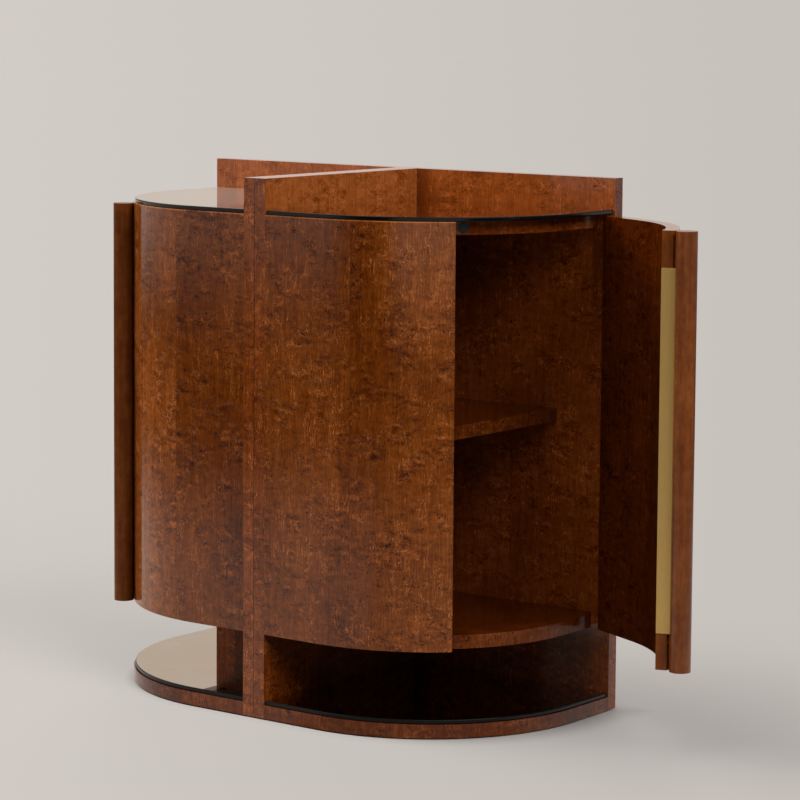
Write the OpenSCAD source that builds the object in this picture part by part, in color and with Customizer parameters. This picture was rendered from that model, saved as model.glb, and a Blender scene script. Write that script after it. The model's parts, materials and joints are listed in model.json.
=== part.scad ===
// Bar cabinet of two mirrored halves, one on each side of a double divider that stands
// square to a wide back panel. Each half has a base board and a body with one rounded
// corner: the front part of the curve is a fixed panel, the part next to the back panel
// is a hinged door with a round full-height bar. Dark glass lies on the body and the base.
// Lengths are in millimetres. The origin is on the floor, midway between the halves, under
// the front face of the back panel. +X is to the right, +Y to the back, +Z up.
// The right half is drawn; the left half is its mirror image.

/* [Plan] */
// Reach of each half, forwards from the back panel and sideways from the divider
arm_len = 457.5; // [420:0.5:600]
// Outer radius of the rounded corner of each half
corner_r = 334; // [260:1:360]

/* [Heights] */
// Thickness of the glides under the cabinet
glide_h = 2.5; // [1:0.5:12]
// Clear height of the open niche above the base glass
niche_h = 124.5; // [60:0.5:240]
// Height of the closed body
body_h = 774; // [560:1:1000]
// Height of the divider and back panel above the top glass
rail_h = 58; // [30:1:120]

/* [Boards] */
// Thickness of each of the two divider boards
divider_t = 25; // [20:1:36]
// Thickness of the back panel
back_t = 25; // [20:1:36]
// Thickness of the base boards
base_t = 25; // [18:1:36]
// Thickness of the bottom and top boards of the body
board_t = 25; // [23:1:36]
// Thickness of the curved panels, fixed and door
panel_t = 25; // [20:1:32]

/* [Glass] */
// Thickness of the glass plates
glass_t = 8; // [4:1:12]
// Distance of the glass edge behind the curved outer face
glass_inset = 3; // [1:0.5:10]
// Radius of the two small corners of each glass plate
glass_corner_r = 4; // [2:0.5:12]

/* [Shelf] */
// Height of the shelf's underside above the bottom board
shelf_lift = 352.5; // [150:0.5:480]
// Thickness of the shelf
shelf_t = 25; // [16:1:36]
// Reach of the shelf from the divider to its straight free edge
shelf_reach = 334; // [250:1:350]
// Gap round the loose shelf
shelf_play = 1; // [0.5:0.1:2]
// Diameter of the shelf pins in their holes
pin_hole_d = 5; // [4:0.5:8]
// Diameter of the stub that the shelf rests on
pin_stub_d = 7; // [6:0.5:12]
// Depth of a shelf pin in its hole
pin_depth = 9; // [6:1:14]
// Length of the stub
pin_stub_len = 9; // [6:1:14]
// Distance of the shelf pins from the shelf's corners
pin_margin = 80; // [40:1:110]
// Distance of the last pin in the back panel from the shelf's free edge
pin_edge_margin = 30; // [15:1:60]

/* [Doors] */
// Angle that the right door stands open
right_open_angle = 65.2; // [0:0.1:110]
// Angle that the left door stands open
left_open_angle = 0; // [0:0.1:110]
// Gap between the fixed panel and the closed door
seam_gap = 3; // [2:0.5:5]
// Gap between the board edges and the closed door
board_gap = 3; // [2:0.5:6]
// Gap between the top of the door and the glass
door_drop = 2; // [1:0.5:6]
// Length of the notch in the boards at the hinge corner
notch_len = 20; // [10:1:40]
// Depth of the notch in the boards at the hinge corner
notch_depth = 13; // [6:1:20]

/* [Bar handle] */
// Diameter of the round bar
bar_d = 38; // [30:1:50]
// Gap between the bar and the curved outer face
bar_gap = 0.3; // [0.2:0.1:2]
// Radius of the cove along the door's closing corner
cove_r = 5; // [3:0.5:7]
// Width of the foot that joins the bar to the door
foot_w = 9; // [8.5:0.5:11]
// Diameter of the dowels in the foot
bar_dowel_d = 6; // [4:0.5:7]
// Depth of the bar dowels in the door
bar_dowel_depth = 14; // [10:1:16]
// Length of the bar dowels in the foot and bar
bar_dowel_reach = 22; // [15:1:26]
// Distance of the first and last bar dowels from the ends of the bar
bar_dowel_margin = 70; // [30:1:110]
// Number of dowels along the bar
bar_dowel_n = 5; // [3:1:9]

/* [Edge plate] */
// Height of the brass plate on the closing edge
plate_h = 642; // [300:1:650]
// Thickness of the brass plate
plate_t = 2; // [1.5:0.1:2.4]
// Depth of the plate in the door's edge
plate_sunk = 1; // [1:0.1:1.4]

/* [Catch] */
// Diameter of the catch magnet
magnet_d = 20; // [10:1:20]
// Length of the catch magnet
magnet_len = 13; // [8:1:20]
// Diameter of the steel disc on the door
strike_d = 22; // [12:1:22]
// Thickness of the steel disc
strike_t = 2.4; // [1.5:0.1:4]
// Distance of the catch from the middle of the seam
catch_offset = 17; // [14:1:60]
// How far the magnet stands out of the board edge, and the steel disc out of the door
catch_proud = 1.2; // [0.2:0.1:1.4]

/* [Hinges] */
// Number of hinges on each door
hinge_n = 3; // [2:1:5]
// Height of a hinge
hinge_h = 60; // [40:1:90]
// Distance from the middle of the end hinges to the ends of the door
hinge_margin = 80; // [50:1:110]
// Width of a hinge leaf
leaf_w = 20; // [16:1:20]
// Thickness of a hinge leaf
leaf_t = 1.45; // [1.2:0.05:2]
// Gap between the closed leaves
leaf_gap = 0.1; // [0.1:0.05:0.4]
// Outer diameter of the knuckle
knuckle_d = 6; // [5.5:0.5:8]
// Gap between the knuckle and everything beside it
knuckle_gap = 0.3; // [0.2:0.1:1]
// Diameter of the hinge pin
hinge_pin_d = 3; // [2:0.1:3.4]
// Number of screws in each leaf
screw_n = 3; // [2:1:4]
// Shank diameter of the hinge screws
screw_d = 3; // [2.5:0.1:3.5]
// Head diameter of the hinge screws
screw_head_d = 5.4; // [4.8:0.1:6]
// Length of the hinge screws
screw_len = 16; // [10:1:18]

/* [Dowels] */
// Diameter of the dowels that join the boards
dowel_d = 8; // [6:1:10]
// Depth of a dowel in the face of a board
dowel_face_depth = 12; // [8:1:14]
// Depth of a dowel in the edge of a board
dowel_edge_depth = 28; // [16:1:32]
// Distance from the board's ends to the first and last dowel
dowel_margin = 60; // [40:1:80]
// Number of dowels along each edge of a board
dowel_n = 3; // [2:1:5]
// Number of dowels up the end of each fixed panel
panel_dowel_n = 5; // [3:1:7]
// Half length of the dowels between the two divider boards
pair_dowel_half = 15; // [8:1:18]
// Distance of those dowels from the back panel and from the front edge
pair_dowel_margin = 140; // [120:1:160]

/* [Glides] */
// Diameter of the glides
glide_d = 30; // [20:1:40]
// Distance of the glides from the outer edges
glide_margin = 40; // [30:1:60]

/* [Hidden] */
$fn = 96;

VENEER = "saddlebrown";
INNER_VENEER = "sienna";
SOLID_WOOD = "brown";
DOWEL_WOOD = "burlywood";
SMOKED_GLASS = "darkslategray";
BRASS = "darkkhaki";
STEEL = "silver";
BLACK = "black";

// Added to a cut so that it passes through the face it starts from
over = 1;
// Radial clearance of a dowel, pin, screw or magnet in its hole
hole_play = 0.05;
// Extra depth of a blind hole beyond what sits in it
hole_spare = 0.5;
// Gap along the axis between neighbouring knuckles
knuckle_end_gap = 0.2;
// Angle of the seam between the fixed panel and the door, in the middle of the corner
seam_angle = 45;

flank = arm_len - corner_r;
half_w = divider_t + arm_len;
arc_centre = [divider_t + flank, -flank, 0];

base_z = glide_h;
base_glass_z = base_z + base_t;
body_z = base_glass_z + glass_t + niche_h;
body_top = body_z + body_h;
cabinet_top = body_top + glass_t + rail_h;
upright_h = cabinet_top - base_z;
top_board_z = body_top - board_t;
top_board_mid = top_board_z + board_t / 2;
shelf_z = body_z + board_t + shelf_lift;
door_h = body_h - door_drop;

hinge_gap = 2 * leaf_t + leaf_gap;
pivot = [half_w + knuckle_gap + knuckle_d / 2, -hinge_gap / 2, 0];
knuckle_n = 3;
body_knuckles = [0, 2];
door_knuckles = [1];
knuckle_pitch = hinge_h / knuckle_n;
hinge_z = spread(body_z + hinge_margin, body_z + door_h - hinge_margin, hinge_n);
leaf_x = half_w - leaf_w;
screw_margin = hinge_h / screw_n / 2;
screw_dz = spread(screw_margin - hinge_h / 2, hinge_h / 2 - screw_margin, screw_n);

bar_x = corner_r + bar_gap + bar_d / 2;
foot_y = seam_gap / 2 + cove_r;
bar_dowel_y = foot_y + foot_w / 2;
bar_dowel_z = spread(body_z + bar_dowel_margin, body_z + door_h - bar_dowel_margin, bar_dowel_n);
plate_z = body_z + (door_h - plate_h) / 2;

board_edge_r = corner_r - panel_t - board_gap;
door_inner_r = corner_r - panel_t;
catch_angle = asin(catch_offset / board_edge_r);

inner_reach = arm_len - panel_t;
side_dowel_y = spread(-dowel_margin, dowel_margin - inner_reach, dowel_n);
back_dowel_x = spread(divider_t + dowel_margin,
    divider_t + inner_reach - board_gap - notch_depth - dowel_margin, dowel_n);
board_mid_z = [base_z + base_t / 2, body_z + board_t / 2, top_board_mid];
panel_dowel_z = spread(body_z + dowel_margin, body_top - dowel_margin, panel_dowel_n);
pair_dowel_y = [-pair_dowel_margin, pair_dowel_margin - arm_len];
// Heights between the boards: in the niche, under and over the shelf, and in the rail
clear_z = [
    base_glass_z + glass_t + niche_h / 2,
    body_z + board_t + shelf_lift / 2,
    (shelf_z + shelf_t + top_board_z) / 2,
    body_top + glass_t + rail_h / 2
];
side_pin_y = [-pin_margin, pin_margin - inner_reach];
back_pin_x = [divider_t + pin_margin, divider_t + shelf_reach - pin_edge_margin];
pin_z = shelf_z - pin_stub_d / 2;

// n values spread evenly from first to last
function spread(first, last, n) = [for (i = [0 : n - 1]) first + (last - first) * i / (n - 1)];

// Places a piece of the right half on the left half when side is -1
module on_side(side) {
    mirror([side < 0 ? 1 : 0, 0, 0]) children();
}

// Swings a piece of the closed right door about the hinge axis
module hung(open) {
    translate(pivot) rotate([0, 0, open]) translate(-pivot) children();
}

// Places a piece of the closed right door on the door of either half, as it stands open
module on_door(side) {
    on_side(side) hung(side < 0 ? left_open_angle : right_open_angle) children();
}

// Frame of the seam: its X runs outwards through the seam, its Y towards the door
module at_seam() {
    translate(arc_centre) rotate([0, 0, -seam_angle]) children();
}

// Frame of the catch, turned from the seam towards the door, with its Z along the radius
module at_catch() {
    at_seam() rotate([0, 0, catch_angle]) translate([0, 0, top_board_mid]) rotate([0, 90, 0]) children();
}

// Plan of the right half from the divider and back panel out to its outer face less inset
module half_plan(inset) {
    reach = arm_len - inset;
    translate([divider_t, -reach]) square([flank, reach]);
    translate([divider_t, -flank]) square([reach, flank]);
    intersection() {
        translate([divider_t, -reach]) square(reach);
        translate([arc_centre.x, arc_centre.y]) circle(r = corner_r - inset);
    }
}

// Half plane on the fixed panel's side of the seam, ending at the fixed panel's edge
module fixed_side() {
    span = 2 * arm_len;
    translate([arc_centre.x, arc_centre.y]) rotate(-seam_angle)
        translate([-span, -span - seam_gap / 2]) square([2 * span, span]);
}

// Half plane on the door's side of the seam, starting at the door's closing edge
module door_side() {
    span = 2 * arm_len;
    translate([arc_centre.x, arc_centre.y]) rotate(-seam_angle)
        translate([-span, seam_gap / 2]) square([2 * span, span]);
}

// Strip of plan between the outer face and the inner face of the curved panels
module shell_plan() {
    difference() {
        half_plan(0);
        half_plan(panel_t);
    }
}

// Plan of the body's boards: up to the fixed panel, short of the door, notched at the hinge
module board_plan() {
    edge_x = divider_t + inner_reach - board_gap;
    difference() {
        intersection() {
            half_plan(panel_t);
            union() {
                fixed_side();
                half_plan(panel_t + board_gap);
            }
        }
        translate([edge_x - notch_depth, -notch_len]) square([notch_depth + over, notch_len + over]);
    }
}

// Plan of the glass plates, with a small round at the two corners by the uprights
module glass_plan() {
    reach = arm_len - glass_inset;
    difference() {
        half_plan(glass_inset);
        translate([divider_t, -reach]) corner_waste(0);
        translate([divider_t + reach, 0]) corner_waste(180);
    }
}

// What a small round takes off a right-angled corner of the glass
module corner_waste(turn) {
    rotate(turn) difference() {
        translate([-over, -over]) square(glass_corner_r + over);
        translate([glass_corner_r, glass_corner_r]) circle(r = glass_corner_r);
    }
}

// Round peg along +X from x = -back to x = front, or its hole when play is set
module peg_x(d, back, front, play) {
    translate([-back - play_depth(play), 0, 0]) rotate([0, 90, 0])
        cylinder(d = d + 2 * play, h = back + front + 2 * play_depth(play));
}

// Round peg along +Y from y = -front to y = back, or its hole when play is set
module peg_y(d, front, back, play) {
    translate([0, -front - play_depth(play), 0]) rotate([-90, 0, 0])
        cylinder(d = d + 2 * play, h = front + back + 2 * play_depth(play));
}

// A hole is deeper than its peg at both ends, and a peg has no extra depth
function play_depth(play) = play > 0 ? hole_spare : 0;

// Dowels of the base, bottom and top boards of the right half
module board_pegs(play = 0) {
    for (z = board_mid_z) {
        for (y = side_dowel_y)
            translate([divider_t, y, z]) peg_x(dowel_d, dowel_face_depth, dowel_edge_depth, play);
        for (x = back_dowel_x)
            translate([x, 0, z]) peg_y(dowel_d, dowel_edge_depth, dowel_face_depth, play);
    }
}

// Dowels between the end of the right fixed panel and the divider
module panel_pegs(play = 0) {
    for (z = panel_dowel_z) translate([divider_t, panel_t / 2 - arm_len, z])
        peg_x(dowel_d, dowel_face_depth, dowel_edge_depth, play);
}

// Dowels between the two divider boards
module pair_pegs(play = 0) {
    for (z = clear_z, y = pair_dowel_y)
        translate([0, y, z]) peg_x(dowel_d, pair_dowel_half, pair_dowel_half, play);
}

// Dowels between the rear edges of the divider boards and the back panel
module upright_pegs(play = 0) {
    for (z = clear_z, x = [-divider_t / 2, divider_t / 2])
        translate([x, 0, z]) peg_y(dowel_d, dowel_edge_depth, dowel_face_depth, play);
}

// Shelf pins of the right half, or the holes that they sit in
module shelf_pegs(play = 0) {
    for (y = side_pin_y) translate([divider_t, y, pin_z]) {
        peg_x(pin_hole_d, pin_depth, 0, play);
        if (play == 0) peg_x(pin_stub_d, 0, pin_stub_len, play);
    }
    for (x = back_pin_x) translate([x, 0, pin_z]) {
        peg_y(pin_hole_d, 0, pin_depth, play);
        if (play == 0) peg_y(pin_stub_d, pin_stub_len, 0, play);
    }
}

// Dowels that hold the round bar on the right door
module bar_pegs(play = 0) {
    for (z = bar_dowel_z) at_seam() translate([corner_r, bar_dowel_y, z])
        peg_x(bar_dowel_d, bar_dowel_depth, bar_dowel_reach, play);
}

// Screws of one leaf: the head is flush with the leaf's open face, the shank points to +Y
module leaf_screws(play = 0) {
    for (z = hinge_z, dz = screw_dz)
        translate([leaf_x + leaf_w / 2, 0, z + dz]) rotate([-90, 0, 0]) {
            cylinder(d1 = screw_head_d + 2 * play, d2 = screw_d + 2 * play, h = leaf_t);
            cylinder(d = screw_d + 2 * play, h = screw_len + play_depth(play));
        }
}

// Screws of the leaf on the back panel
module body_leaf_screws(play = 0) {
    translate([0, -leaf_t, 0]) leaf_screws(play);
}

// Screws of the leaf on the door, which point the other way
module door_leaf_screws(play = 0) {
    translate([0, leaf_t - hinge_gap, 0]) mirror([0, 1, 0]) leaf_screws(play);
}

// Magnet in the edge of the right top board, or its hole
module magnet_peg(play = 0) {
    at_catch() translate([0, 0, board_edge_r + catch_proud - magnet_len - play_depth(play)])
        cylinder(d = magnet_d + 2 * play, h = magnet_len + play_depth(play));
}

// Steel disc in the inner face of the right door, or its pocket
module strike_peg(play = 0) {
    at_catch() translate([0, 0, door_inner_r - catch_proud])
        cylinder(d = strike_d + 2 * play, h = strike_t);
}

// Leaf plates with their back or front at face_y, and the given knuckles round the pin
module leaves(face_y, knuckles) {
    for (z = hinge_z) translate([0, 0, z - hinge_h / 2]) {
        difference() {
            union() {
                translate([leaf_x, face_y, 0]) cube([leaf_w, leaf_t, hinge_h]);
                for (k = knuckles) translate([0, 0, k * knuckle_pitch + knuckle_end_gap / 2]) {
                    translate([half_w - over, face_y, 0])
                        cube([pivot.x - half_w + over, leaf_t, knuckle_pitch - knuckle_end_gap]);
                    translate(pivot) cylinder(d = knuckle_d, h = knuckle_pitch - knuckle_end_gap);
                }
            }
            translate([pivot.x, pivot.y, -over])
                cylinder(d = hinge_pin_d + 2 * hole_play, h = hinge_h + 2 * over);
        }
    }
}

// Wide panel across the back of both halves
module back_panel() {
    color(VENEER) difference() {
        translate([-half_w, 0, base_z]) cube([2 * half_w, back_t, upright_h]);
        upright_pegs(hole_play);
        for (side = [-1, 1]) on_side(side) {
            board_pegs(hole_play);
            shelf_pegs(hole_play);
            body_leaf_screws(hole_play);
        }
    }
}

// One of the two boards that make the divider
module divider_board(side) {
    color(VENEER) difference() {
        on_side(side) translate([0, -arm_len, base_z]) cube([divider_t, arm_len, upright_h]);
        pair_pegs(hole_play);
        upright_pegs(hole_play);
        on_side(side) {
            board_pegs(hole_play);
            panel_pegs(hole_play);
            shelf_pegs(hole_play);
        }
    }
}

module divider_dowels() {
    color(DOWEL_WOOD) pair_pegs();
}

module back_dowels() {
    color(DOWEL_WOOD) upright_pegs();
}

// Glides: under the crossing, the divider's front end, the back panel's ends and the corners
module floor_glides() {
    corner_reach = corner_r - glide_margin;
    color(BLACK) {
        cylinder(d = glide_d, h = glide_h);
        translate([0, glide_margin - arm_len, 0]) cylinder(d = glide_d, h = glide_h);
        for (side = [-1, 1]) on_side(side) {
            translate([half_w - glide_margin, 0, 0]) cylinder(d = glide_d, h = glide_h);
            at_seam() translate([corner_reach, 0, 0]) cylinder(d = glide_d, h = glide_h);
        }
    }
}

module base_board(side) {
    color(VENEER) on_side(side) difference() {
        translate([0, 0, base_z]) linear_extrude(base_t) half_plan(0);
        board_pegs(hole_play);
    }
}

module base_glass(side) {
    color(SMOKED_GLASS) on_side(side) translate([0, 0, base_glass_z])
        linear_extrude(glass_t) glass_plan();
}

module bottom_board(side) {
    color(VENEER) on_side(side) difference() {
        translate([0, 0, body_z]) linear_extrude(board_t) board_plan();
        board_pegs(hole_play);
    }
}

module top_board(side) {
    color(VENEER) on_side(side) difference() {
        translate([0, 0, top_board_z]) linear_extrude(board_t) board_plan();
        board_pegs(hole_play);
        magnet_peg(hole_play);
    }
}

module top_glass(side) {
    color(SMOKED_GLASS) on_side(side) translate([0, 0, body_top])
        linear_extrude(glass_t) glass_plan();
}

// Fixed curved panel between the divider and the door
module front_panel(side) {
    color(VENEER) on_side(side) difference() {
        translate([0, 0, body_z]) linear_extrude(body_h) intersection() {
            shell_plan();
            fixed_side();
        }
        panel_pegs(hole_play);
    }
}

module board_dowels(side) {
    color(DOWEL_WOOD) on_side(side) board_pegs();
}

module panel_dowels(side) {
    color(DOWEL_WOOD) on_side(side) panel_pegs();
}

// Loose shelf with a straight free edge behind the door
module shelf(side) {
    color(INNER_VENEER) on_side(side) translate([0, 0, shelf_z]) linear_extrude(shelf_t)
        intersection() {
            half_plan(panel_t + shelf_play);
            translate([divider_t + shelf_play, -arm_len])
                square([shelf_reach - shelf_play, arm_len - shelf_play]);
        }
}

module shelf_pins(side) {
    color(BRASS) on_side(side) shelf_pegs();
}

module catch_magnet(side) {
    color(BLACK) on_side(side) magnet_peg();
}

module catch_strike(side) {
    color(STEEL) on_door(side) strike_peg();
}

// Curved door with a cove and a plate recess along its closing edge
module door_panel(side) {
    color(VENEER) on_door(side) difference() {
        translate([0, 0, body_z]) linear_extrude(door_h) intersection() {
            shell_plan();
            door_side();
            translate([0, -arm_len]) square([half_w, arm_len - hinge_gap]);
        }
        at_seam() translate([corner_r, seam_gap / 2, body_z - over])
            cylinder(r = cove_r, h = door_h + 2 * over);
        at_seam() translate([door_inner_r - over, 0, plate_z])
            cube([panel_t + 2 * over, seam_gap / 2 + plate_sunk, plate_h]);
        bar_pegs(hole_play);
        strike_peg(hole_play);
        door_leaf_screws(hole_play);
    }
}

// Round bar with the foot that stands on the door's outer face
module door_bar(side) {
    color(SOLID_WOOD) on_door(side) difference() {
        at_seam() translate([0, 0, body_z]) linear_extrude(door_h) {
            translate([bar_x, 0]) circle(d = bar_d);
            difference() {
                translate([corner_r - over, foot_y]) square([bar_x - corner_r + over, foot_w]);
                circle(r = corner_r);
            }
        }
        bar_pegs(hole_play);
    }
}

module bar_dowels(side) {
    color(DOWEL_WOOD) on_door(side) bar_pegs();
}

// Brass plate let into the door's closing edge
module edge_plate(side) {
    color(BRASS) on_door(side) at_seam()
        translate([door_inner_r, seam_gap / 2 + plate_sunk - plate_t, plate_z])
            cube([panel_t, plate_t, plate_h]);
}

module hinge_body_leaves(side) {
    color(BRASS) on_side(side) difference() {
        leaves(-leaf_t, body_knuckles);
        body_leaf_screws(hole_play);
    }
}

module hinge_door_leaves(side) {
    color(BRASS) on_door(side) difference() {
        leaves(-hinge_gap, door_knuckles);
        door_leaf_screws(hole_play);
    }
}

module hinge_pins(side) {
    color(BRASS) on_side(side) for (z = hinge_z)
        translate([pivot.x, pivot.y, z - hinge_h / 2]) cylinder(d = hinge_pin_d, h = hinge_h);
}

module hinge_body_screws(side) {
    color(BRASS) on_side(side) body_leaf_screws();
}

module hinge_door_screws(side) {
    color(BRASS) on_door(side) door_leaf_screws();
}

back_panel();
divider_board(-1);  // left_divider_board
divider_board(1);  // right_divider_board
divider_dowels();
back_dowels();
floor_glides();
base_board(-1);  // left_base_board
base_board(1);  // right_base_board
base_glass(-1);  // left_base_glass
base_glass(1);  // right_base_glass
bottom_board(-1);  // left_bottom_board
bottom_board(1);  // right_bottom_board
top_board(-1);  // left_top_board
top_board(1);  // right_top_board
top_glass(-1);  // left_top_glass
top_glass(1);  // right_top_glass
front_panel(-1);  // left_front_panel
front_panel(1);  // right_front_panel
board_dowels(-1);  // left_board_dowels
board_dowels(1);  // right_board_dowels
panel_dowels(-1);  // left_panel_dowels
panel_dowels(1);  // right_panel_dowels
shelf(-1);  // left_shelf
shelf(1);  // right_shelf
shelf_pins(-1);  // left_shelf_pins
shelf_pins(1);  // right_shelf_pins
catch_magnet(-1);  // left_catch_magnet
catch_magnet(1);  // right_catch_magnet
catch_strike(-1);  // left_catch_strike
catch_strike(1);  // right_catch_strike
door_panel(-1);  // left_door_panel
door_panel(1);  // right_door_panel
door_bar(-1);  // left_door_bar
door_bar(1);  // right_door_bar
bar_dowels(-1);  // left_bar_dowels
bar_dowels(1);  // right_bar_dowels
edge_plate(-1);  // left_edge_plate
edge_plate(1);  // right_edge_plate
hinge_body_leaves(-1);  // left_hinge_body_leaves
hinge_body_leaves(1);  // right_hinge_body_leaves
hinge_door_leaves(-1);  // left_hinge_door_leaves
hinge_door_leaves(1);  // right_hinge_door_leaves
hinge_pins(-1);  // left_hinge_pins
hinge_pins(1);  // right_hinge_pins
hinge_body_screws(-1);  // left_hinge_body_screws
hinge_body_screws(1);  // right_hinge_body_screws
hinge_door_screws(-1);  // left_hinge_door_screws
hinge_door_screws(1);  // right_hinge_door_screws
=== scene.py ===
import json
import math

import bmesh
import bpy
from mathutils import Matrix, Vector

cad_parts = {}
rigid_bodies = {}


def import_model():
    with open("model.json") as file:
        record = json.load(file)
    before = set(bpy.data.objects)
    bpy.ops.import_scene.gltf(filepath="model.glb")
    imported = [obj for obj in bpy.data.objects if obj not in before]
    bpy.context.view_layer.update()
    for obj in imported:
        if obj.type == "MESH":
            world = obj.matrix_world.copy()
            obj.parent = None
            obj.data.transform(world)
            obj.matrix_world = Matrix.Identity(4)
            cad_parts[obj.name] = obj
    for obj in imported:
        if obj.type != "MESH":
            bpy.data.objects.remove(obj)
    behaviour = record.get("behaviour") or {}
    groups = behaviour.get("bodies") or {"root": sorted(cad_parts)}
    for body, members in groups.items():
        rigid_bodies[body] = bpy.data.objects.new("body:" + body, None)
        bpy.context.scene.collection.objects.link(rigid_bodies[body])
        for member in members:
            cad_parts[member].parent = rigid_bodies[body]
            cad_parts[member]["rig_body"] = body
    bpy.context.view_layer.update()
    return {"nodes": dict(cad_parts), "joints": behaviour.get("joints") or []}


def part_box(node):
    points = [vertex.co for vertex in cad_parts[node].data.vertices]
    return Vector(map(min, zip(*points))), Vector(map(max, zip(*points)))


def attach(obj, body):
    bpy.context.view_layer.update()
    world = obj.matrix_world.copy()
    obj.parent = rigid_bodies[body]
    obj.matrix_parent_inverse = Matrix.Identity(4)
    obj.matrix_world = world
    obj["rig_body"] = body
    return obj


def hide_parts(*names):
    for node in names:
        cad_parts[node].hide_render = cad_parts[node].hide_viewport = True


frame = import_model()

# The two halves, with the sign of their side
SIDES = {"left": -1, "right": 1}

# The cabinet's main places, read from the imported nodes
HALF_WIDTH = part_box("back_panel")[1].x
BACK_FACE_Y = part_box("back_panel")[0].y
FRONT_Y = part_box("right_divider_board")[0].y
DIVIDER_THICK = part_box("right_divider_board")[1].x
FLOOR_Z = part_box("floor_glides")[0].z
BODY_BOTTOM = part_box("right_front_panel")[0].z
BODY_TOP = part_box("right_front_panel")[1].z

# The rounded corner in plan: its radius, and its centre for the right half
CORNER_RADIUS = 0.334
CORNER_CENTRE = Vector((HALF_WIDTH - CORNER_RADIUS, FRONT_Y + CORNER_RADIUS, 0))

# Widths of the softened arrises. The angles, in degrees: faces flatter than the first are joined,
# edges sharper than the second are softened, and shading breaks at edges sharper than the third
BOARD_ARRIS = 0.0008
PANEL_ARRIS = 0.0018
SEAM_ARRIS = 0.0014
GLASS_ARRIS = 0.0018
METAL_ARRIS = 0.0003
FLAT_ANGLE = 0.2
ARRIS_ANGLE = 30
SHADING_ANGLE = 8

# Colours of the veneer, from the shade of its bumps to its palest flecks
VENEER_HUES = [
    (0.0, (0.029, 0.0050, 0.0002)),
    (0.1, (0.058, 0.0105, 0.0005)),
    (0.2, (0.073, 0.0146, 0.0008)),
    (0.4, (0.105, 0.0240, 0.0024)),
    (0.5, (0.128, 0.0308, 0.0038)),
    (0.6, (0.155, 0.0392, 0.0060)),
    (0.8, (0.225, 0.0630, 0.0125)),
    (1.0, (0.340, 0.1080, 0.0300)),
]

# The veneer's patterns: stretch, shift, scale, detail and roughness of each one's noise
PATTERNS = {
    "clusters": ((1, 1, 1.1), (2, 8, 4), 27, 2, 0.5),
    "dent zone": ((1, 1, 1.2), (4, 6, 1), 15, 2, 0.5),
    "cloud": ((1, 1, 0.5), (7, 1, 2), 8, 3, 0.5),
    "fibre": ((1, 1, 0.06), (0, 0, 0), 390, 3, 0.8),
    "streaks": ((1, 1, 0.1), (6, 2, 5), 90, 2, 0.5),
    "marks": ((0.8, 0.8, 1.5), (5, 3, 9), 130, 2, 0.5),
    "fleck zone": ((1, 1, 0.8), (9, 4, 6), 30, 1, 0.5),
    "flecks": ((1, 1, 0.22), (1, 7, 3), 200, 1, 0.5),
    "hairs": ((1, 1, 0.06), (3, 4, 8), 230, 1, 0.5),
}

# The veneer's bumps: stretch, shift and scale of their noise, and how far up their shading looks
BUMPS = {
    "relief": ((0.9, 0.9, 1.1), (0, 0, 0), 46, 0.0042),
    "dents": ((0.75, 0.75, 1.3), (5, 1, 6), 34, 0.007),
}

# Between which values of its noise each zone begins, and between which distances from the
# middle of its noise each kind of thin line ends
ZONES = {"clusters": (0.50, 0.67), "dent zone": (0.52, 0.64), "fleck zone": (0.48, 0.64)}
LINES = {"marks": (0.003, 0.02), "flecks": (0.003, 0.018), "hairs": (0.002, 0.014)}
HAIR_SHARE = 0.15

# How strongly each pattern tells in the veneer's colour, with more of the relief in clusters
RELIEF_TELLS = 0.7
CLUSTER_TELLS = 1.6
DENTS_TELL = 1.4
FIBRE_TELLS = 0.9
STREAKS_TELL = 0.45
CLOUD_TELLS = 0.75
MARKS_TELL = 1.25
FLECKS_TELL = 0.65
HAIRS_TELL = 0.28

# The veneer's surface: depth of the dark marks, strength and height of its relief, and roughness
# between the fibres' low and high values
MARK_DEPTH = 0.3
VENEER_BUMP = (0.28, 0.0005)
FIBRE_RANGE = (0.3, 0.7)
VENEER_ROUGHNESS = (0.15, 0.11)

# The swirl that bends the fibres: scale of its noise, reach, and further reach in clusters
SWIRL_SCALE = 40
SWIRL_REACH = 0.006
SWIRL_IN_CLUSTERS = 0.014

# Where the veneer's shades, painted light and shade among them, begin and end, in metres past the
# seam, face or edge they go by
SEAM_FADE = (0.0003, 0.0012)
LEAF_EDGE_FADE = (0.0, 0.11)
LEAF_STEP_FADE = (-0.014, 0.014)
FRONT_FADE = (0.0006, 0.0014)
BACK_FADE = (0.001, 0.003)
RAIL_FADE = (0.002, 0.006)
NICHE_SHADE_FADE = (-0.004, 0.0)
TOP_ARRIS_HIGHLIGHT_FADE = (-0.0022, -0.0014)
# Painted shadow of the divider on the back: where it fades out, and where it begins
DIVIDER_SHADOW_FADE = (0.0, 0.06)
DIVIDER_SHADOW_START = (-0.001, 0.0)

# The veneer's usual values: a reddish tone's shares of red, green and blue, its shine, how much
# darker its seams are, how far apart in the pattern two neighbouring leaves are, and the width of
# a leaf that is wider than any board
RED_SHARES = (1.03, 0.88, 0.8)
VENEER_SHINE = 0.5
SEAM_SHADE = 0.12
LEAF_SHIFT = (3.7, 1.9, 5.3)
ONE_LEAF = 2.0

# Rails above the tops are paler, a painted light for the light the mirror tops throw onto them, and
# calmer; inner faces are darker, a painted shade of the cabinet's inside, calmer and duller
RAIL_PAINTED_LIGHT = 0.24
RAIL_CALM = 0.35
INSIDE_CALM = 0.2
PAINTED_INNER_SHADE_LOOK = {"painted_inner_shade": 0.27, "shine": 0.18}

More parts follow.
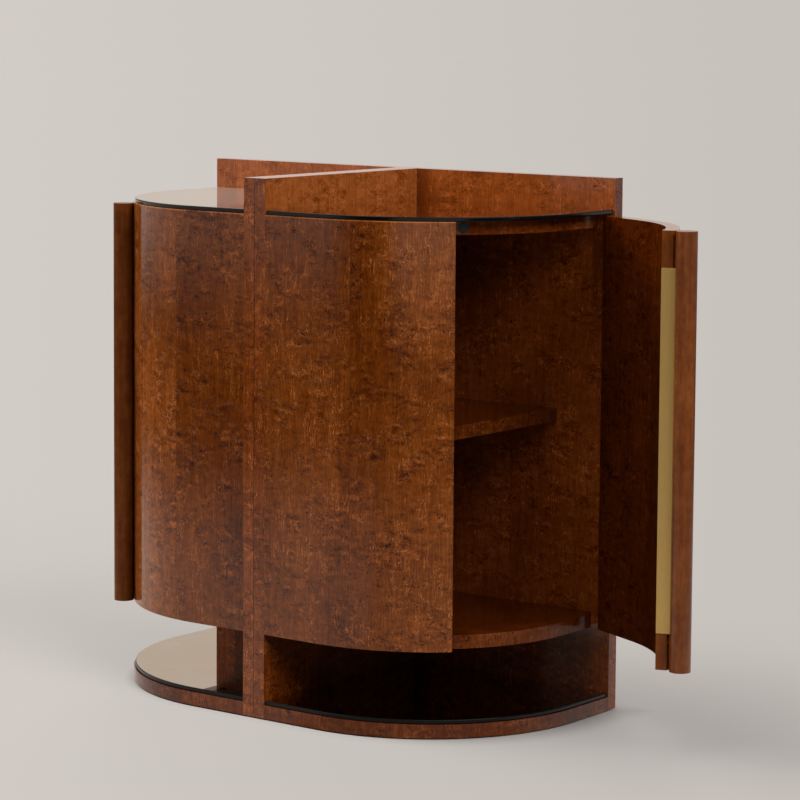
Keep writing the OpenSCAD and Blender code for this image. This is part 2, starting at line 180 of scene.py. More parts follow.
# The back and the divider: tones, looks and the pattern's shifts. In the looks rail is
# painted light on the rails, niche painted shade below the body, and the back's corner
# a painted shadow beside the divider
BACK_TONE = 1.28
BACK_SHIFT = (0.3, 0.9, 0.2)
BACK_LOOK = {"rail": RAIL_PAINTED_LIGHT, "niche": 0.14, "inside": 0.12, "corner": 0.3, "leaf_step": -0.12}
DIVIDER_LOOK = {"rail": RAIL_PAINTED_LIGHT + 0.08, "niche": 0.14, "inside": 0.06, "seam_shade": 0.5}
DIVIDER_SHARES = (1, 0.92, 0.86)
DIVIDERS = {"left": (1.14, (1.3, 0.2, 0.7)), "right": (1.04, (2.1, 1.6, 0.4))}

# The level boards: each one's name with its edge's tone and shine, the shelf's low edge tone being
# painted shade inside the cabinet, the tone of their faces, and the pattern's shifts by their side
# and by the length of their name
BOARD_EDGES = (
    ("base_board", 0.68, 0.42),
    ("bottom_board", 0.68, 0.15),
    ("top_board", 0.9, 0.15),
    ("shelf", 0.5, 0.15),
)
BOARD_FACE_TONE = 0.66
BOARD_SHIFT = (0.7, 0.31, 0.13)

# The curved panels: tones of their outer and inner faces, the inner ones lower as painted shade, the
# looks of the fixed ones, whose painted_arris_highlight paints a highlight on the top edge, how many
# degrees nearer the divider than mid-panel the fixed ones' seam is, and the pattern's shifts
PANEL_TONE = (1.05, 1.03, 0.95)
PANEL_INNER_SHADE_TONE = 0.72
FIXED_LOOKS = {
    "left": {"leaf_step": 0.2, "slope": 0.55, "leaf_shade": 0.0, "painted_arris_highlight": 0.5},
    "right": {"leaf_step": 0.0, "slope": 0.35, "leaf_shade": 0.08, "painted_arris_highlight": 0.5},
}
SEAM_ASIDE = {"left": 4.5, "right": 0}
FIXED_SHIFT = (0.55, 0.4, 0.25)
DOOR_SHIFT = (1.55, 0.1, 0.85)

# Tone and shine of the round bars, the left bar's lower tone being painted shade on the same wood,
# and how much of the hazy film the left top's glass has
BARS = {"left": (0.66, 0.12), "right": (1.0, 0.55)}
HAZE_FILM = 0.6

# How faces are told apart by the upward part of their normal: an upright one stays below the
# first, a board's level one lies above the second and a glass plate's above the third. Then by
# how much a curved panel's face looks outward: its ends stay below the fourth, and its inner
# faces below the fifth
UPRIGHT_LIMIT = 0.5
BOARD_LEVEL = 0.9
GLASS_LEVEL = 0.99
END_LIMIT = 0.3
INNER_LIMIT = -0.7

# Studio: the dome's strength and colour, and the colour of the background
DOME_LIGHT = 0.12
DOME_COLOUR = (1.0, 0.96, 0.91, 1)
BACKGROUND = (0.617, 0.578, 0.540, 1)

# Level directions away from the camera and to its right. The background's brightness goes from
# the first value at the left to the second at the right, over this reach to each side
AWAY = (-0.605, 0.796, 0)
TO_RIGHT = (0.796, 0.605, 0)
FALL_OFF_REACH = 0.12
FALL_OFF = (1.04, 0.93)

# The floor: size, corners, its colour as the camera sees it and as it gives light back, and how
# evenly the camera sees it at the left and at the right. The evenness begins just inside the
# base's outline, and is whole past a strip that is wider by the reach at the right
FLOOR_RADIUS = 60
FLOOR_CORNERS = 96
FLOOR_SEEN = (0.2985, 0.286, 0.2765)
FLOOR_BOUNCE = (0.205, 0.191, 0.177)
FLOOR_EVENNESS = (0.5, 0.36)
CONTACT_START = -0.005
CONTACT_LEFT = 0.01
CONTACT_REACH = 0.09

# What mirrored rays see of the floor, by its bearing from -1 before the cabinet to 1 behind it,
# and by its distance in metres: two ends of a smooth step each, with the values there
BEHIND = (0.9, 0.97)
FLOOR_ASIDE = (-0.75, -0.35)
FAR = (6, 14, 0, 1.1)
FAR_BEFORE = (-0.96, -0.88, 1.1, 0)
CLOSE = (1.6, 4.2, 1, 0)
CLOSE_BEFORE = (-0.92, -0.84, 0.5, 0.9)
CLOSE_ASIDE = 0.1

# What mirrored rays see of the room: its brightness before and behind the cabinet, how much
# brighter the ceiling is, by the ray's upward part, and a soft glow around each side light
ROOM_SHARES = (0.3, 1.1)
CEILING = (0.35, 0.75, 0, 0.25)
LAMP_GLOW = (0.7, 0.97, 0, 1.3)

# Lamps: name, direction, strength, and softness in degrees
RIGHT_LIGHT = (-0.93, 0.3, -0.75)
LEFT_LIGHT = (0.95, 0.27, -0.75)
LAMPS = (
    ("right light", RIGHT_LIGHT, 2.75, 35),
    ("left light", LEFT_LIGHT, 3.05, 35),
    ("top light", (0.05, 0.4, -1), 2.2, 50),
    ("back light", (0.5, -0.8, -0.7), 0.95, 30),
)
LAMP_COLOUR = (1.0, 0.98, 0.95)

# Camera: place in metres, turn, pitch and roll in degrees, and picture in parts of its width
CAMERA_PLACE = (3.59057, -4.74134, 1.33684)
CAMERA_TURN = 37.24
CAMERA_PITCH = -5.778
CAMERA_ROLL = 0.407
CAMERA_SHIFT = -0.12
FOCAL_PER_WIDTH = 3.844
SENSOR_WIDTH = 36.0
CLIP_END = 200


class Wire:
    """An output socket in a node tree, with the sums that the finishes use."""

    def __init__(self, nodes, socket):
        self.nodes = nodes
        self.socket = socket

    def __add__(self, other):
        return self.nodes.scalar_math("ADD", self, other)

    def __radd__(self, other):
        return self.nodes.scalar_math("ADD", other, self)

    def __sub__(self, other):
        return self.nodes.scalar_math("SUBTRACT", self, other)

    def __rsub__(self, other):
        return self.nodes.scalar_math("SUBTRACT", other, self)

    def __mul__(self, other):
        return self.nodes.scalar_math("MULTIPLY", self, other)

    def __rmul__(self, other):
        return self.nodes.scalar_math("MULTIPLY", other, self)

    def __truediv__(self, other):
        return self.nodes.scalar_math("DIVIDE", self, other)

    def __abs__(self):
        return self.nodes.scalar_math("ABSOLUTE", self)


class Nodes:
    """A node tree being built, with the steps that build patterns."""

    def __init__(self, tree):
        self.tree = tree

    def give(self, socket, value):
        """Links a wire to a socket, or sets the socket's own value."""
        if isinstance(value, Wire):
            self.tree.links.new(value.socket, socket)
        else:
            socket.default_value = value

    def add(self, kind, settings=None, inputs=None, output=0):
        """Adds a node: its settings first, then the values or links of its sockets."""
        node = self.tree.nodes.new(kind)
        for key, value in (settings or {}).items():
            setattr(node, key, value)
        for key, value in (inputs or {}).items():
            self.give(node.inputs[key], value)
        return Wire(self, node.outputs[output])

    def scalar_math(self, operation, *values):
        return self.add("ShaderNodeMath", {"operation": operation}, dict(enumerate(values)))

    def vector_math(self, operation, *values, output="Vector"):
        return self.add("ShaderNodeVectorMath", {"operation": operation}, dict(enumerate(values)), output)

    def place(self):
        return self.add("ShaderNodeTexCoord", output="Object")

    def part(self, vector, axis):
        return self.add("ShaderNodeSeparateXYZ", None, {0: vector}, "XYZ".index(axis))

    def dot(self, first, second):
        return self.vector_math("DOT_PRODUCT", first, second, output="Value")

    def length(self, vector):
        return self.vector_math("LENGTH", vector, output="Value")

    def moved(self, vector, other):
        return self.vector_math("ADD", vector, other)

    def scaled(self, vector, factor):
        return self.add("ShaderNodeVectorMath", {"operation": "SCALE"}, {0: vector, "Scale": factor})

    def stretched(self, vector, scale, shift=(0, 0, 0)):
        return self.add("ShaderNodeMapping", None, {"Vector": vector, "Location": shift, "Scale": scale})

    def noise(self, vector, scale, detail=2.0, rough=0.5, output="Fac"):
        inputs = {"Vector": vector, "Scale": scale, "Detail": detail, "Roughness": rough}
        return self.add("ShaderNodeTexNoise", None, inputs, output)

    def span(self, value, low, high, new_low=0.0, new_high=1.0, smooth=False):
        """A value between low and high, carried to new_low and new_high."""
        settings = {"interpolation_type": "SMOOTHSTEP" if smooth else "LINEAR"}
        inputs = {"Value": value, "From Min": low, "From Max": high, "To Min": new_low, "To Max": new_high}
        return self.add("ShaderNodeMapRange", settings, inputs)

    def step(self, value, low, high, new_low=0.0, new_high=1.0):
        return self.span(value, low, high, new_low, new_high, True)

    def fade(self, value, start, fade, new_low=0.0, new_high=1.0):
        """Smooth step between two distances past a start."""
        return self.step(value, start + fade[0], start + fade[1], new_low, new_high)

    def ramp(self, value, stops):
        colour = self.add("ShaderNodeValToRGB", None, {"Fac": value})
        elements = colour.socket.node.color_ramp.elements
        while len(elements) < len(stops):
            elements.new(0.5)
        for element, (place, hue) in zip(elements, stops):
            element.position = place
            element.color = (*hue, 1)
        return colour

    def blend(self, factor, first, second):
        """Mix of two colours; the sockets of the Mix node's colours are 6 and 7, its result 2."""
        first, second = ((*c, 1) if isinstance(c, tuple) else c for c in (first, second))
        return self.add("ShaderNodeMix", {"data_type": "RGBA"}, {0: factor, 6: first, 7: second}, 2)

    def mixed_shader(self, factor, first, second):
        return self.add("ShaderNodeMixShader", None, {0: factor, 1: first, 2: second})

    def ray(self, kind):
        return self.add("ShaderNodeLightPath", output=f"Is {kind} Ray")

    def across_view(self, aside, left, right):
        """A value that goes from left to right over the view, by its direction aside."""
        return self.span(aside, -FALL_OFF_REACH, FALL_OFF_REACH, left, right)


class Finish(Nodes):
    """A material being made: its node tree and its main shader."""

    def __init__(self, name, **constants):
        self.material = bpy.data.materials.new(name)
        self.material.use_nodes = True
        super().__init__(self.material.node_tree)
        self.shader = self.tree.nodes["Principled BSDF"]
        for socket, value in constants.items():
            self.feed(socket.replace("_", " "), value)

    def feed(self, socket, value):
        self.give(self.shader.inputs[socket], value)

    def bump(self, height, strength, distance):
        relief = {"Height": height, "Strength": strength, "Distance": distance}
        self.feed("Normal", self.add("ShaderNodeBump", None, relief, "Normal"))


def toned(tone):
    """The veneer's colours, scaled by a tone in each of red, green and blue."""
    return [(at, tuple(c * t for c, t in zip(hue, tone))) for at, hue in VENEER_HUES]


def redder(tone):
    return tuple(tone * share for share in RED_SHARES)


def pattern(finish, vector, name):
    stretch, shift, scale, detail, rough = PATTERNS[name]
    return finish.noise(finish.stretched(vector, stretch, shift), scale, detail, rough)


def zone(finish, vector, name):
    return finish.step(pattern(finish, vector, name), *ZONES[name])


def thin_lines(finish, vector, name):
    return finish.step(abs(pattern(finish, vector, name) - 0.5), *LINES[name], 1, 0)


def bumps(finish, vector, name):
    """Light and shade of bumps lit from above: their height less the height a little higher up."""
    stretch, shift, scale, reach = BUMPS[name]
    here = finish.stretched(vector, stretch, shift)
    return finish.noise(here, scale) - finish.noise(finish.moved(here, (0, 0, reach)), scale)


def figure(finish, grown):
    """The burl's figure: what it adds to the veneer's value, its fibres and its height.
    Fibres run upright, and swirl round clusters of bumps, which show as lit ridges with a shade
    below, dark marks, and pale flecks and hairs along the fibres."""
    clusters = zone(finish, grown, "clusters")
    dent_zone = zone(finish, grown, "dent zone")
    cloud = pattern(finish, grown, "cloud")
    swirl = finish.noise(grown, SWIRL_SCALE, detail=1, output="Color")
    swirl_reach = SWIRL_REACH + clusters * SWIRL_IN_CLUSTERS
    bent = finish.moved(grown, finish.scaled(finish.moved(swirl, (-0.5, -0.5, -0.5)), swirl_reach))
    relief = bumps(finish, bent, "relief")
    dents = bumps(finish, bent, "dents") * dent_zone
    fibre = pattern(finish, bent, "fibre")
    streaks = pattern(finish, bent, "streaks")
    mark_zone = finish.scalar_math("MAXIMUM", clusters, dent_zone)
    marks = thin_lines(finish, bent, "marks") * mark_zone
    flecks = thin_lines(finish, bent, "flecks") * zone(finish, bent, "fleck zone")
    hairs = thin_lines(finish, bent, "hairs")
    value = relief * (RELIEF_TELLS + clusters * CLUSTER_TELLS) + dents * DENTS_TELL
    value = value + (fibre - 0.5) * FIBRE_TELLS + (streaks - 0.5) * STREAKS_TELL
    value = value + (cloud - 0.5) * CLOUD_TELLS - marks * MARKS_TELL
    value = value + flecks * FLECKS_TELL + (hairs - HAIR_SHARE) * HAIRS_TELL
    return value, fibre, relief + dents - marks * MARK_DEPTH


def upright_shades(finish, place, beside, value, look):
    """Shades of the back's and the divider's flat faces by their height: painted light on the rails, the
    body, painted shade in the niches, and with a corner look a painted shadow beside the divider.
    """
    height = finish.part(place, "Z")
    depth = finish.part(place, "Y")
    flat = finish.fade(depth, FRONT_Y, FRONT_FADE) * finish.fade(depth, BACK_FACE_Y, BACK_FADE, 1, 0)
    # Painted light: the faces above the body's top, on the rails, are made paler
    above = finish.fade(height, BODY_TOP, RAIL_FADE) * flat
    # Painted shade: the faces below the body, in the niche, are made darker
    below = finish.fade(height, BODY_BOTTOM, NICHE_SHADE_FADE, 1, 0) * flat
    inside = flat - above - below
    value = value * (1 - above * RAIL_CALM - inside * INSIDE_CALM)
    value = value + above * look["rail"] + inside * look["inside"] - below * look["niche"]
    # Painted shadow of the divider: a dark strip on the back's face beside it
    if "corner" in look:
        corner = finish.step(beside, *DIVIDER_SHADOW_FADE, 1, 0) * finish.step(beside, *DIVIDER_SHADOW_START)
        value = value - corner * flat * look["corner"]
    return value


def veneer(name, across, seam_at, leaf_width, shift, tone, **look):
    """Lacquered burl veneer laid in leaves, side by side along the direction across.
    The first seam lies at seam_at, and the next ones a leaf's width apart. Of the look, shine is
    the lacquer's, leaf_step makes the leaf past the first seam paler, slope makes the veneer
    paler along the direction across, leaf_shade darkens leaves towards their seams, seam_shade
    darkens the joint itself, painted_arris_highlight paints a highlight on the body's top edge,
    and painted_inner_shade makes all faces darker with painted shade, and calmer. On an upright
    board rail makes the faces above the tops paler with painted light, and calmer,
    inside makes those between the rails and the niches a little paler and calmer,
    niche makes those below the body darker with painted shade, and corner paints a
    shadow of the divider on a strip past the first seam."""
    finish = Finish(name, IOR=1.5, Specular_IOR_Level=look.get("shine", VENEER_SHINE))
    place = finish.place()
    beside = finish.dot(place, across) - seam_at
    leaf_place = beside / leaf_width
    leaf = finish.scalar_math("FLOOR", leaf_place)
    seam_distance = abs(leaf_place - finish.scalar_math("ROUND", leaf_place)) * leaf_width
    leaf_shift = finish.add("ShaderNodeCombineXYZ", None, {i: leaf * s for i, s in enumerate(LEAF_SHIFT)})
    grown = finish.stretched(finish.moved(place, leaf_shift), (1, 1, 1), shift)
    value, fibre, relief = figure(finish, grown)
    # Painted shade: inner faces are made darker
    if "painted_inner_shade" in look:
        value = value * (1 - INSIDE_CALM) - look["painted_inner_shade"]
    if "rail" in look:
        value = upright_shades(finish, place, beside, value, look)
    if "painted_arris_highlight" in look:
        # Painted highlight along the body's top edge
        value = value + finish.fade(finish.part(place, "Z"), BODY_TOP, TOP_ARRIS_HIGHLIGHT_FADE) * look["painted_arris_highlight"]
    value = value - finish.step(seam_distance, *SEAM_FADE, 1, 0) * look.get("seam_shade", SEAM_SHADE)
    value = value - finish.step(seam_distance, *LEAF_EDGE_FADE, 1, 0) * look.get("leaf_shade", 0)
    value = value + beside * look.get("slope", 0)
    value = 0.5 + value + finish.step(beside, *LEAF_STEP_FADE, -0.5, 0.5) * look.get("leaf_step", 0)
    finish.feed("Base Color", finish.ramp(value, toned(tone)))
    finish.feed("Roughness", finish.step(fibre, *FIBRE_RANGE, *VENEER_ROUGHNESS))
    finish.bump(relief, *VENEER_BUMP)
    return finish.material


def bar_wood(name, tone=1.0, shine=0.3):
    """Solid reddish wood with fine upright grain and a faint mottle, satin lacquered."""
    finish = Finish(name, IOR=1.5, Specular_IOR_Level=shine)
    place = finish.place()
    pores = finish.noise(finish.stretched(place, (1, 1, 0.05)), 700, detail=3, rough=0.65)
    bands = finish.noise(finish.stretched(place, (1, 1, 0.06)), 110)
    mottle = finish.noise(finish.stretched(place, (1, 1, 0.8), (2, 5, 1)), 75, detail=3, rough=0.6)
    cloud = finish.noise(finish.stretched(place, (1, 1, 0.6)), 11)
    value = 0.52 + (pores - 0.5) * 0.6 + (bands - 0.5) * 0.45 + (mottle - 0.5) * 0.5 + (cloud - 0.5) * 0.4
    finish.feed("Base Color", finish.ramp(value, toned((tone, tone, tone))))
    finish.feed("Roughness", finish.step(pores, 0.3, 0.7, 0.3, 0.24))
    finish.bump(pores, 0.15, 0.0003)
    return finish.material


def mirror_glass(name="bronze mirror glass", film=0.0):
    """Bronze mirror glass: a warm metal layer under clear polished glass. A thin film of haze on
    it shows at low angles."""
    finish = Finish(name, Metallic=1.0, Coat_Weight=1.0, Coat_IOR=1.52, Coat_Roughness=0.0)
    finish.feed("Specular Tint", (0.86, 0.8, 0.72, 1))
    finish.feed("Sheen Weight", film)
    finish.feed("Sheen Roughness", 0.35)
    finish.feed("Sheen Tint", (1.0, 0.88, 0.78, 1))
    haze = finish.noise(finish.place(), 3.5)
    finish.feed("Base Color", finish.blend(haze, (0.445, 0.36, 0.282), (0.465, 0.376, 0.295)))
    smear = finish.noise(finish.place(), 14, detail=4, rough=0.6)
    finish.feed("Roughness", finish.step(smear, 0.35, 0.75, 0.015, 0.03))
    return finish.material


def edge_glass():
    """Polished dark edge of the glass plates."""
    finish = Finish("dark glass edge", IOR=1.52, Specular_IOR_Level=0.25)
    streak = finish.noise(finish.stretched(finish.place(), (1, 1, 9)), 60)
    finish.feed("Base Color", finish.blend(streak, (0.0012, 0.0012, 0.0012), (0.004, 0.005, 0.0045)))
    finish.feed("Roughness", finish.step(streak, 0.3, 0.7, 0.03, 0.1))
    return finish.material


def brass(name, tone):
    """Satin brass, brushed upright, slightly clouded by handling."""
    finish = Finish(name, Metallic=0.84)
    brushed = finish.noise(finish.stretched(finish.place(), (1, 1, 0.02)), 1500)
    cloud = finish.noise(finish.place(), 22, detail=4, rough=0.6)
    light, deep = (tuple(c * tone for c in hue) for hue in ((0.95, 0.62, 0.21), (0.84, 0.53, 0.17)))
    lines = finish.step(cloud * 0.4 + brushed * 0.6, 0.35, 0.65)
    finish.feed("Base Color", finish.blend(lines, light, deep))
    finish.feed("Roughness", finish.step(cloud * 0.5 + brushed * 0.5, 0.35, 0.65, 0.3, 0.42))
    finish.bump(brushed, 0.08, 0.0001)
    return finish.material


def steel():
    """Plain steel of the catch discs."""
    finish = Finish("plain steel", Metallic=1.0)
    brushed = finish.noise(finish.stretched(finish.place(), (1, 1, 6)), 700)
    finish.feed("Base Color", finish.blend(brushed, (0.50, 0.50, 0.49), (0.62, 0.62, 0.60)))
    finish.feed("Roughness", finish.step(brushed, 0.3, 0.7, 0.25, 0.4))
    return finish.material


def magnet_black():
    """Black plated face of the catch magnets."""
    finish = Finish("black magnet", Metallic=0.4)
    grit = finish.noise(finish.place(), 900)
    finish.feed("Base Color", finish.blend(grit, (0.008, 0.010, 0.014), (0.020, 0.022, 0.026)))
    finish.feed("Roughness", finish.step(grit, 0.3, 0.7, 0.3, 0.5))
    return finish.material


def felt():
    """Dense dark felt of the glides."""
    finish = Finish("dark felt", Roughness=0.95, Specular_IOR_Level=0.1)
    fuzz = finish.noise(finish.place(), 1400, detail=3)
    finish.feed("Base Color", finish.blend(fuzz, (0.012, 0.009, 0.007), (0.035, 0.028, 0.022)))
    finish.bump(fuzz, 0.5, 0.0005)
    return finish.material


def dowel_wood():
    """Plain pale wood of the hidden dowels."""
    finish = Finish("beech dowel", Roughness=0.6)
    grain = finish.noise(finish.place(), 300, detail=3)
    finish.feed("Base Color", finish.blend(grain, (0.55, 0.36, 0.18), (0.66, 0.46, 0.26)))
    return finish.material


def softened(node, width, segments=3):
    """A copy of a CAD node with its arrises softened, which stands for the node."""
    source = frame["nodes"][node]
    mesh = bpy.data.meshes.new(node + "_soft")
    shape = bmesh.new()
    shape.from_mesh(source.data)
    bmesh.ops.remove_doubles(shape, verts=shape.verts, dist=1e-6)
    bmesh.ops.dissolve_limit(
        shape,
        angle_limit=math.radians(FLAT_ANGLE),
        verts=shape.verts,
        edges=shape.edges,
        use_dissolve_boundaries=False,
    )
    sharp = math.radians(ARRIS_ANGLE)
    arrises = [e for e in shape.edges if len(e.link_faces) == 2 and e.calc_face_angle() > sharp]
    bmesh.ops.bevel(
        shape,
        geom=arrises,
        offset=width,
        offset_type="OFFSET",
        segments=segments,
        profile=0.5,
        affect="EDGES",
        material=-1,
        clamp_overlap=True,
    )
    shape.to_mesh(mesh)
    shape.free()
    for face in mesh.polygons:
        face.use_smooth = True
    mesh.set_sharp_from_angle(angle=math.radians(SHADING_ANGLE))
    piece = bpy.data.objects.new(node + "_finished", mesh)
    bpy.context.scene.collection.objects.link(piece)
    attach(piece, source["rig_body"])
    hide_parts(node)
    return piece


def dress(piece, *materials):
    piece.data.materials.clear()
    for material in materials:
        piece.data.materials.append(material)


def mirrored(point, side):
    return Vector((SIDES[side] * point.x, point.y, point.z))


def turn_of_door(side):
    """The rotation from the closed door to the door at rest."""
    hinge = next(j for j in frame["joints"] if j["child"] == side + "_door")
    pivot = Vector(hinge["pos_m"])
    opened = -math.radians(min(hinge["range_deg"]))
    turned = Matrix.Rotation(opened, 4, Vector(hinge["axis"]))
    return Matrix.Translation(pivot) @ turned @ Matrix.Translation(-pivot)


def curved_seam(side, degrees, turn):
    """Direction across and place of a veneer seam on a curved panel, at an angle on the corner."""
    angle = math.radians(degrees)
    across = turn.to_3x3() @ mirrored(Vector((-math.sin(angle), math.cos(angle), 0)), side)
    return tuple(across), across.dot(turn @ mirrored(CORNER_CENTRE, side))


def sort_panel_faces(piece, side, turn):
    """Gives a curved panel's inner faces its second finish, the one with painted shade, and its upright
    end faces the third.
    """
    back = turn.inverted()
    centre = mirrored(CORNER_CENTRE, side)
    sign = SIDES[side]
    for polygon in piece.data.polygons:
        reach = back @ polygon.center - centre
        outward = Vector((sign * max(0, sign * reach.x), min(0, reach.y), 0))
        facing = (back.to_3x3() @ polygon.normal).dot(outward.normalized())
        end = abs(facing) < END_LIMIT and abs(polygon.normal.z) < UPRIGHT_LIMIT
        polygon.material_index = 2 if end else (1 if facing < INNER_LIMIT else 0)


def dress_uprights():
    leaf = (HALF_WIDTH - DIVIDER_THICK) / 2
    back = softened("back_panel", BOARD_ARRIS)
    run = ((1, 0, 0), DIVIDER_THICK, leaf, BACK_SHIFT)
    dress(back, veneer("back veneer", *run, redder(BACK_TONE), **BACK_LOOK))
    for side, (tone, shift) in DIVIDERS.items():
        board = softened(side + "_divider_board", SEAM_ARRIS)
        hue = tuple(tone * share for share in DIVIDER_SHARES)
        run = ((1, 0, 0), 0.0, ONE_LEAF, shift)
        dress(board, veneer(side + " divider veneer", *run, hue, **DIVIDER_LOOK))


def dress_boards():
    """Each board is one leaf of veneer, from another part of the pattern than the others."""
    for side, sign in SIDES.items():
        for name, tone, shine in BOARD_EDGES:
            board = softened(f"{side}_{name}", BOARD_ARRIS)
            shift = tuple(b * f for b, f in zip(BOARD_SHIFT, (sign, len(name), sign)))
            run = ((1, 0, 0), ONE_LEAF, 2 * ONE_LEAF, shift)
            # The boards' level faces, mostly inside the cabinet, get painted shade
            face = veneer(f"{side} {name} face", *run, redder(BOARD_FACE_TONE), **PAINTED_INNER_SHADE_LOOK)
            dress(board, veneer(f"{side} {name} edge", *run, redder(tone), shine=shine), face)
            for polygon in board.data.polygons:
                polygon.material_index = 1 if abs(polygon.normal.z) > BOARD_LEVEL else 0


def dress_curved_panels():
    """Each curved panel has two leaves of veneer, with the seam near the middle of its arc."""
    flank = -(FRONT_Y + CORNER_RADIUS)
    half_panel = (flank + CORNER_RADIUS * math.pi / 4) / 2
    seam_degrees = math.degrees((half_panel - flank) / CORNER_RADIUS)
    closed = Matrix.Identity(4)
    end_wood = bar_wood("panel end wood")
    for side, sign in SIDES.items():
        panels = (
            ("front_panel", seam_degrees - 90 - SEAM_ASIDE[side], closed, FIXED_SHIFT, FIXED_LOOKS[side]),
            ("door_panel", -seam_degrees, turn_of_door(side), DOOR_SHIFT, {}),
        )
        for name, degrees, turn, (aside, *shift), look in panels:
            panel = softened(f"{side}_{name}", PANEL_ARRIS)
            run = (*curved_seam(side, degrees, turn), 2 * ONE_LEAF, (sign * aside, *shift))
            # The panel's inner faces get painted shade
            painted_inner_shade = veneer(f"{side} {name} lining", *run, redder(PANEL_INNER_SHADE_TONE), **PAINTED_INNER_SHADE_LOOK)
            dress(panel, veneer(f"{side} {name} veneer", *run, PANEL_TONE, **look), painted_inner_shade, end_wood)
            sort_panel_faces(panel, side, turn)
        bar = softened(side + "_door_bar", BOARD_ARRIS)
        dress(bar, bar_wood(side + " bar wood", *BARS[side]))


def dress_glass():
    hazed = mirror_glass("hazed mirror glass", HAZE_FILM)
    clear, edge = mirror_glass(), edge_glass()
    for side in SIDES:
        for name in ("top_glass", "base_glass"):
            plate = softened(f"{side}_{name}", GLASS_ARRIS, 4)
            dress(plate, hazed if (side, name) == ("left", "top_glass") else clear, edge)
            for polygon in plate.data.polygons:
                polygon.material_index = 0 if abs(polygon.normal.z) > GLASS_LEVEL else 1


def dress_fittings():
    plate_brass, hinge_brass = brass("satin brass", 1.04), brass("hinge brass", 0.9)
    disc, black = steel(), magnet_black()
    for side in SIDES:
        dress(softened(side + "_edge_plate", METAL_ARRIS), plate_brass)
        for name in ("hinge_body_leaves", "hinge_door_leaves"):
            dress(softened(f"{side}_{name}", METAL_ARRIS / 2, 2), hinge_brass)
        for name in ("hinge_pins", "hinge_body_screws", "hinge_door_screws", "shelf_pins"):
            dress(frame["nodes"][f"{side}_{name}"], hinge_brass)
        dress(softened(side + "_catch_strike", METAL_ARRIS), disc)
        dress(softened(side + "_catch_magnet", METAL_ARRIS * 2), black)
    dress(frame["nodes"]["floor_glides"], felt())
    pale = dowel_wood()
    for name, node in frame["nodes"].items():
        if name.endswith("_dowels"):
            dress(node, pale)


def make_camera():
    data = bpy.data.cameras.new("camera")
    data.sensor_width = SENSOR_WIDTH
    data.lens = FOCAL_PER_WIDTH * SENSOR_WIDTH
    data.shift_y = CAMERA_SHIFT
    data.clip_end = CLIP_END
    camera = bpy.data.objects.new("camera", data)
    bpy.context.scene.collection.objects.link(camera)
    turn = Matrix.Rotation(math.radians(CAMERA_TURN), 4, "Z")
    pitch = Matrix.Rotation(math.radians(90 + CAMERA_PITCH), 4, "X")
    roll = Matrix.Rotation(math.radians(CAMERA_ROLL), 4, "Z")
    camera.matrix_world = Matrix.Translation(CAMERA_PLACE) @ turn @ pitch @ roll
    bpy.context.scene.camera = camera


def make_world():
    """Even dome light. The camera sees the pale background all round, and mirrored rays see it
    behind the cabinet, with the dimmer end of the studio on the camera's side."""
    world = bpy.data.worlds.new("studio")
    bpy.context.scene.world = world
    world.use_nodes = True
    room = Nodes(world.node_tree)
    direction = room.add("ShaderNodeTexCoord", output="Generated")
    glow = room.span(room.dot(direction, AWAY), *BEHIND, *ROOM_SHARES)
    glow = glow + room.span(room.part(direction, "Z"), *CEILING)
    for light in (RIGHT_LIGHT, LEFT_LIGHT):
        towards = tuple(-Vector(light).normalized())
        glow = glow + room.step(room.dot(direction, towards), *LAMP_GLOW)
    even = room.across_view(room.dot(direction, TO_RIGHT), *FALL_OFF)
    dome = room.tree.nodes["Background"]
    dome.inputs["Color"].default_value = DOME_COLOUR
    dome.inputs["Strength"].default_value = DOME_LIGHT
    reflected, seen = (
        room.add("ShaderNodeBackground", None, {"Color": BACKGROUND, "Strength": strength})
        for strength in (glow, even)
    )
    lit = room.mixed_shader(room.ray("Glossy"), Wire(room, dome.outputs[0]), reflected)
    final = room.mixed_shader(room.ray("Camera"), lit, seen)
    room.give(room.tree.nodes["World Output"].inputs["Surface"], final)


def from_outline(finish):
    """Distance from the cabinet's outline on the floor, counted from the corners' centres."""
    place = finish.place()
    depth = finish.part(place, "Y")
    past_side = finish.scalar_math("MAXIMUM", abs(finish.part(place, "X")) - CORNER_CENTRE.x, 0.0)
    past_front = finish.scalar_math("MAXIMUM", CORNER_CENTRE.y - depth, 0.0)
    past = finish.add("ShaderNodeCombineXYZ", None, {0: past_side, 1: past_front})
    return finish.scalar_math("MAXIMUM", finish.length(past), depth + CORNER_RADIUS)


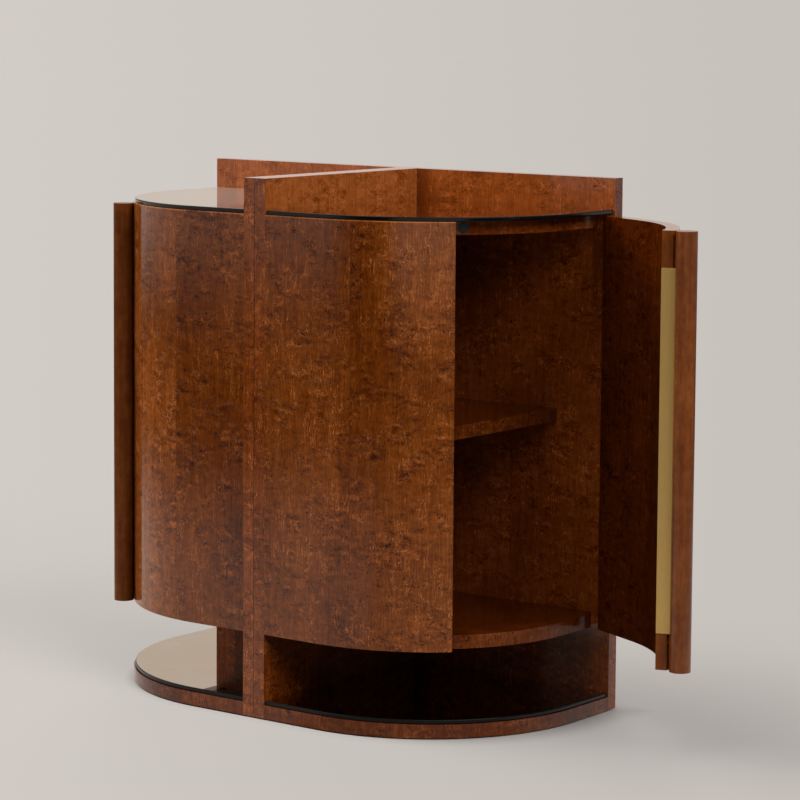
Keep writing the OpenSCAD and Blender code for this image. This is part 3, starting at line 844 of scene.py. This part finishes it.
def make_floor():
    """A wide pale floor. What the camera sees of it is part its own colour, part its shading."""
    shape = bmesh.new()
    bmesh.ops.create_circle(shape, cap_ends=True, segments=FLOOR_CORNERS, radius=FLOOR_RADIUS)
    bmesh.ops.translate(shape, verts=shape.verts, vec=(0, 0, FLOOR_Z))
    mesh = bpy.data.meshes.new("floor")
    shape.to_mesh(mesh)
    shape.free()
    floor = bpy.data.objects.new("floor", mesh)
    bpy.context.scene.collection.objects.link(floor)

    finish = Finish("pale floor", Roughness=0.9, Specular_IOR_Level=0.0)
    place = finish.place()
    distance = finish.length(place)
    bearing = finish.dot(place, AWAY) / distance
    left = finish.step(bearing, *FLOOR_ASIDE)
    far = finish.step(distance, *FAR) * (left + finish.step(bearing, *FAR_BEFORE))
    close = finish.step(distance, *CLOSE) * (finish.step(bearing, *CLOSE_BEFORE) + left * CLOSE_ASIDE)
    reflected = finish.scalar_math("MAXIMUM", close + far, finish.step(bearing, *BEHIND))

    glossy, camera = finish.ray("Glossy"), finish.ray("Camera")
    from_camera = finish.moved(place, tuple(-c for c in CAMERA_PLACE))
    aside = finish.dot(finish.vector_math("NORMALIZE", from_camera), TO_RIGHT)
    even = finish.across_view(aside, *FALL_OFF)
    finish.feed("Base Color", finish.scaled(finish.blend(camera, FLOOR_BOUNCE, FLOOR_SEEN), even))
    strength = camera * even + glossy * reflected
    glow = finish.add("ShaderNodeEmission", None, {"Color": BACKGROUND, "Strength": strength})

    contact_end = finish.across_view(aside, CONTACT_LEFT, CONTACT_LEFT + CONTACT_REACH) + CORNER_RADIUS
    open_floor = finish.step(from_outline(finish), CORNER_RADIUS + CONTACT_START, contact_end)
    share = glossy + camera * finish.across_view(aside, *FLOOR_EVENNESS) * open_floor
    mixed = finish.mixed_shader(share, Wire(finish, finish.shader.outputs[0]), glow)
    finish.give(finish.tree.nodes["Material Output"].inputs["Surface"], mixed)
    mesh.materials.append(finish.material)


def make_lamps():
    """The lamps don't show in mirrors: the world's glow stands for them there."""
    for name, direction, strength, softness in LAMPS:
        data = bpy.data.lights.new(name, "SUN")
        data.energy = strength
        data.angle = math.radians(softness)
        data.color = LAMP_COLOUR
        lamp = bpy.data.objects.new(name, data)
        lamp.visible_glossy = False
        lamp.rotation_euler = Vector(direction).to_track_quat("-Z", "Y").to_euler()
        bpy.context.scene.collection.objects.link(lamp)


bpy.context.scene.view_settings.view_transform = "Standard"
make_camera()
make_world()
make_floor()
make_lamps()
dress_uprights()
dress_boards()
dress_curved_panels()
dress_glass()
dress_fittings()
